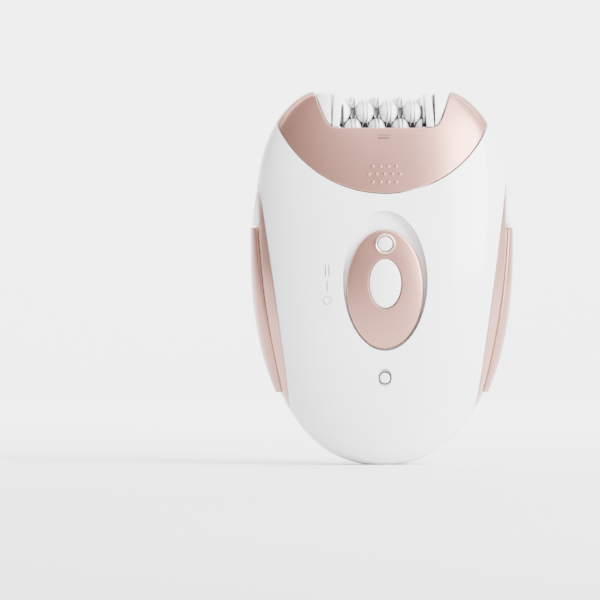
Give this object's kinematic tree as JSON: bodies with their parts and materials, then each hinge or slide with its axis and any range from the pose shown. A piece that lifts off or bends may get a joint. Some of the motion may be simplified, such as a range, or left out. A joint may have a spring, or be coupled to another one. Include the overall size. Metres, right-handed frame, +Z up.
{
  "type": "epilator",
  "caption": "Egg-shaped rechargeable hand epilator: a spinning tweezer drum in a lift-off head, driven by a motor through gears; slide switch with safety lock and lamp.",
  "frame": {"origin": "middle of the small flat foot around the charging inlet, at the bottom of the body", "axes": "+Z up from the foot to the tweezer head; -Y out of the front face with the slide switch; +X to the right as seen from the front"},
  "size_m": [0.0834, 0.0433, 0.1181],
  "materials": {
    "white": "glossy white moulded plastic",
    "rose_gold": "satin metallic rose-gold lacquer on plastic",
    "grey_plastic": "plain grey moulded plastic",
    "dark_plastic": "black moulded plastic",
    "steel": "bright stamped or drawn steel",
    "brass": "cut brass",
    "nylon": "natural moulded nylon",
    "clear": "milky clear lens plastic",
    "board": "green solder resist on glass-epoxy board",
    "cell_wrap": "printed shrink wrap over the cell can"
  },
  "bodies": {
    "body": {"front_shell": "white", "rear_shell": "white", "side_trim_left": "rose_gold", "side_trim_right": "rose_gold", "side_grip_left": "rose_gold", "side_grip_right": "rose_gold", "release_spring_left": "steel", "release_spring_right": "steel", "seat_deck": "grey_plastic", "chassis": "grey_plastic", "motor_can": "steel", "motor_end_cap": "dark_plastic", "battery_cell": "cell_wrap", "battery_tab_left": "steel", "battery_tab_right": "steel", "charging_socket": "dark_plastic", "circuit_board": "board", "slide_switch": "dark_plastic", "lamp_led": "clear", "indicator_lens": "clear", "shell_screw_1": "steel", "shell_screw_2": "steel", "shell_screw_3": "steel", "shell_screw_4": "steel"},
    "head": {"head_cover": "rose_gold", "head_frame": "white", "head_base": "grey_plastic", "guard_plate_left": "white", "guard_plate_right": "white", "gear_plate": "grey_plastic"},
    "drum": {"drum_axle": "steel", "barrel_disc_1": "white", "barrel_disc_2": "white", "barrel_disc_3": "white", "barrel_disc_4": "white", "barrel_disc_5": "white", "barrel_disc_6": "white", "barrel_disc_7": "white", "tweezer_pair_1": "steel", "tweezer_pair_2": "steel", "tweezer_pair_3": "steel", "tweezer_pair_4": "steel", "tweezer_pair_5": "steel", "tweezer_pair_6": "steel", "drum_gear": "nylon"},
    "idler": {"idler_gear": "nylon", "idler_pin": "steel"},
    "cross_drive": {"shaft_gear": "nylon", "crown_gear": "nylon", "cross_shaft": "steel"},
    "motor": {"motor_rotor": "steel", "motor_pinion": "brass"},
    "slider": {"switch_slider": "rose_gold", "lamp_lens": "clear"},
    "safety": {"safety_button": "white"},
    "release_left": {"release_button_left": "white"},
    "release_right": {"release_button_right": "white"}
  },
  "joints": [
    {"name": "head_release", "type": "slide", "parent": "body", "child": "head", "axis": [0, 0, 1], "range_m": [0, 0.03]},
    {"name": "drum_spin", "type": "hinge", "parent": "head", "child": "drum", "pos_m": [0, 0, 0.1085], "axis": [1, 0, 0], "continuous": true},
    {"name": "idler_spin", "type": "hinge", "parent": "head", "child": "idler", "pos_m": [0, 0, 0.1], "axis": [1, 0, 0], "continuous": true},
    {"name": "cross_spin", "type": "hinge", "parent": "head", "child": "cross_drive", "pos_m": [0, 0, 0.094], "axis": [1, 0, 0], "continuous": true},
    {"name": "motor_spin", "type": "hinge", "parent": "body", "child": "motor", "pos_m": [0, 0, 0.05], "axis": [0, 0, 1], "continuous": true},
    {"name": "switch_slide", "type": "slide", "parent": "body", "child": "slider", "axis": [0, 0, 1], "range_m": [0, 0.005]},
    {"name": "safety_press", "type": "slide", "parent": "slider", "child": "safety", "axis": [0, 1, 0], "range_m": [0, 0.0008], "stiffness_N_per_m": 400, "springref_m": -0.0008},
    {"name": "release_press_left", "type": "slide", "parent": "body", "child": "release_left", "axis": [1, 0, 0], "range_m": [0, 0.0016], "stiffness_N_per_m": 400, "springref_m": -0.001, "deforming": ["release_spring_left"]},
    {"name": "release_press_right", "type": "slide", "parent": "body", "child": "release_right", "axis": [-1, 0, 0], "range_m": [0, 0.0016], "stiffness_N_per_m": 400, "springref_m": -0.001, "deforming": ["release_spring_right"]}
  ],
  "couplings": [
    {"joint": "idler_spin", "follows": "drum_spin", "ratio": -2.4},
    {"joint": "cross_spin", "follows": "drum_spin", "ratio": 1.7143},
    {"joint": "motor_spin", "follows": "drum_spin", "ratio": 4.2857}
  ]
}
